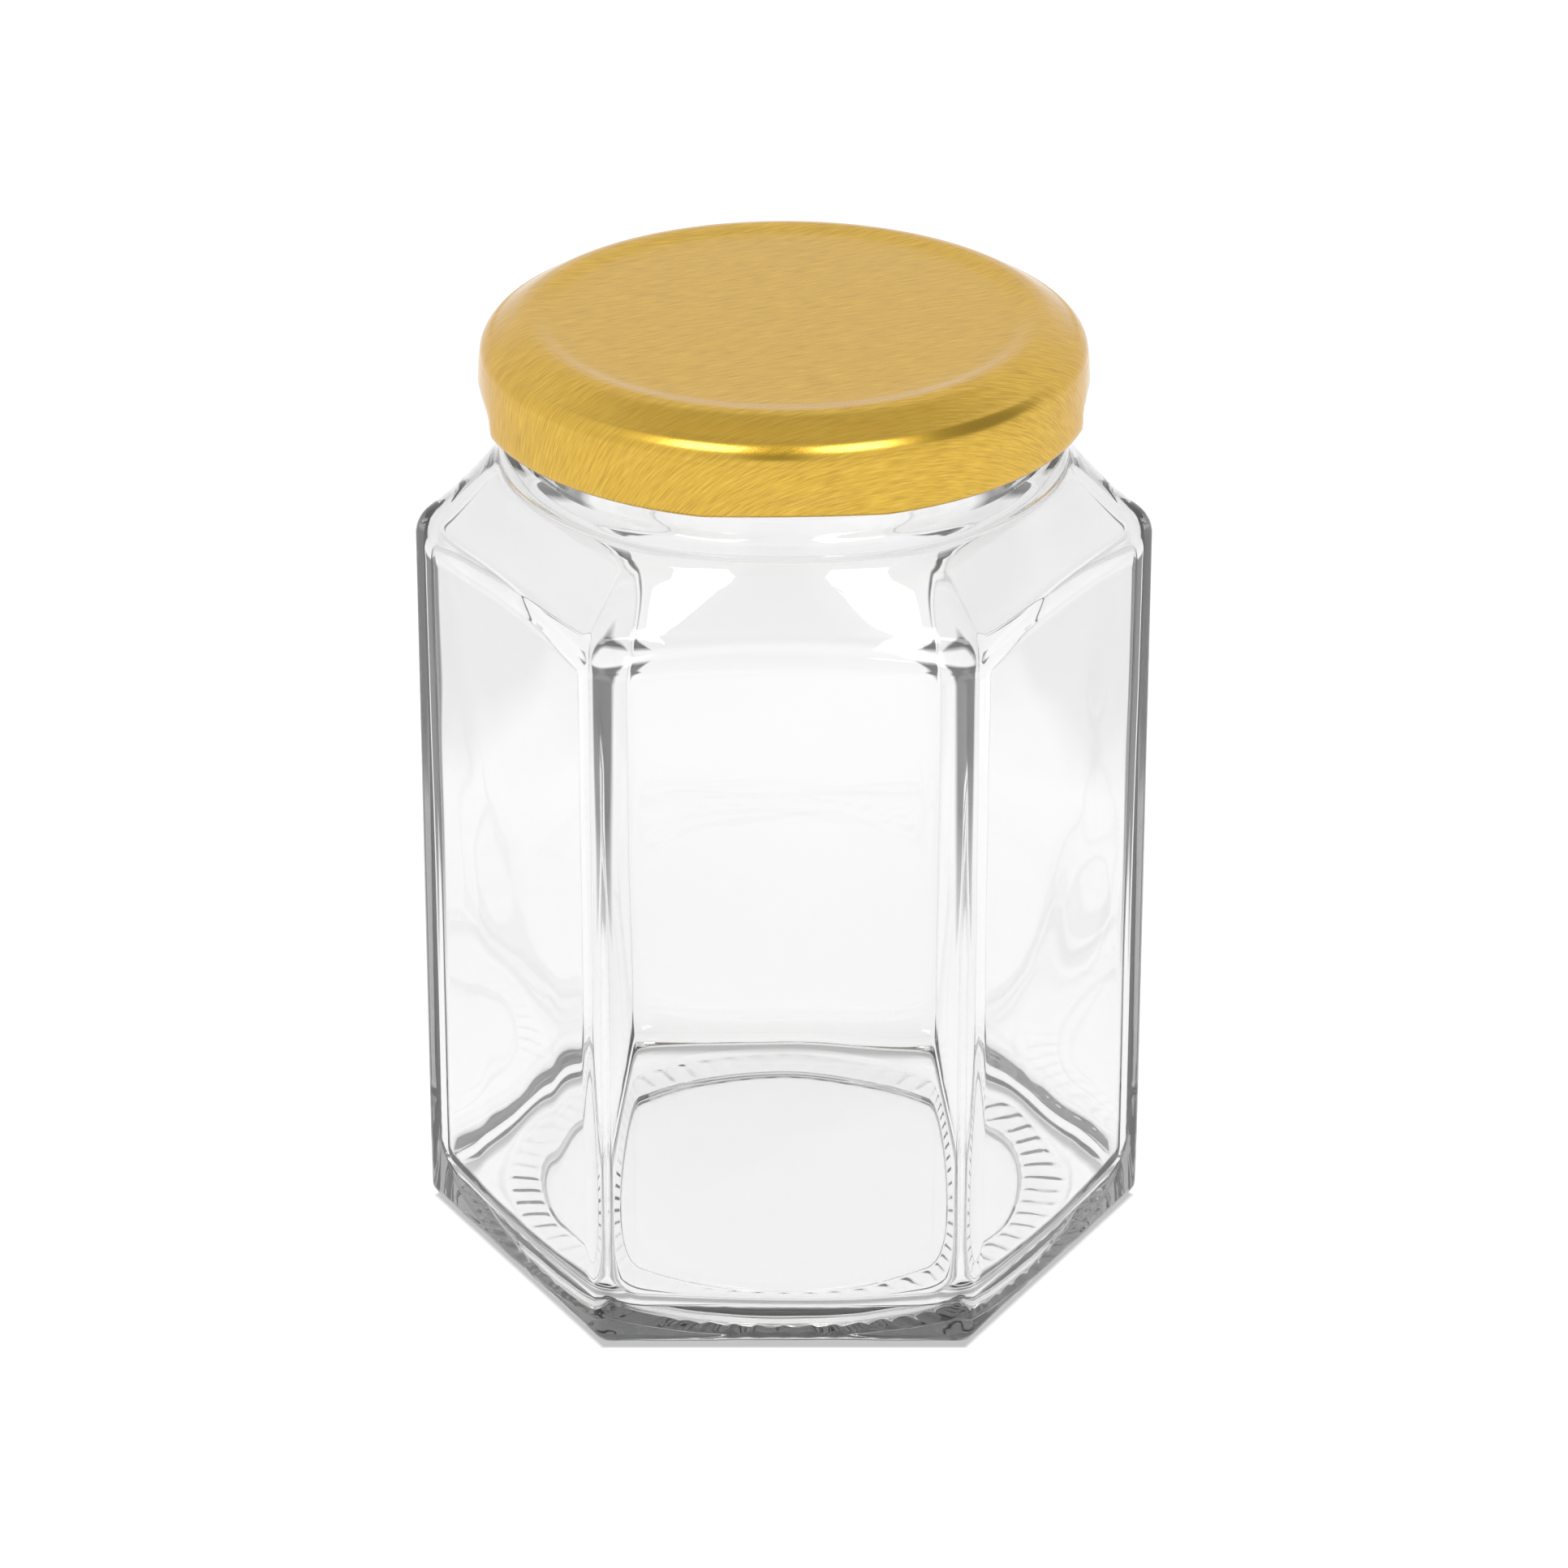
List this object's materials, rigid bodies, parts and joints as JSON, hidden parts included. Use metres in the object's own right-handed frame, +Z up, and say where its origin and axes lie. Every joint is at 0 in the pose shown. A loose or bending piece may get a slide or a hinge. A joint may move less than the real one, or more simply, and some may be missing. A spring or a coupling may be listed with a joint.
{
  "type": "hexagonal glass storage jar with twist-off lid",
  "caption": "Hexagonal clear glass storage jar with a sloped shoulder, round threaded neck and a gold one-piece twist-off lug lid.",
  "frame": {"origin": "centre of the jar's underside, on the plane that it stands on", "axes": "+Z up along the jar's axis towards the lid; two flats of the hexagon face +Y and -Y, two corners point along +X and -X; -Y is the front"},
  "size_m": [0.08, 0.0698, 0.1074],
  "materials": {
    "clear_glass": "clear moulded glass, smooth and glossy, faintly uneven",
    "gold_lacquer": "gold transparent lacquer over finely brushed tinplate, semi-gloss",
    "sealing_compound": "soft off-white sealing compound, matt"
  },
  "bodies": {
    "jar": {"glass_jar": "clear_glass"},
    "gasket": {"sealing_gasket": "sealing_compound"},
    "lid": {"lid_shell": "gold_lacquer"}
  },
  "joints": [
    {"name": "lid_rise", "type": "slide", "parent": "jar", "child": "gasket", "axis": [0, 0, 1], "range_m": [0, 0.0201]},
    {"name": "lid_twist", "type": "hinge", "parent": "gasket", "child": "lid", "pos_m": [0, 0, 0.0971], "axis": [0, 0, 1], "range_deg": [0, 360]}
  ],
  "couplings": [
    {"joint": "lid_rise", "follows": "lid_twist", "m_per_rad": 0.0031831}
  ]
}
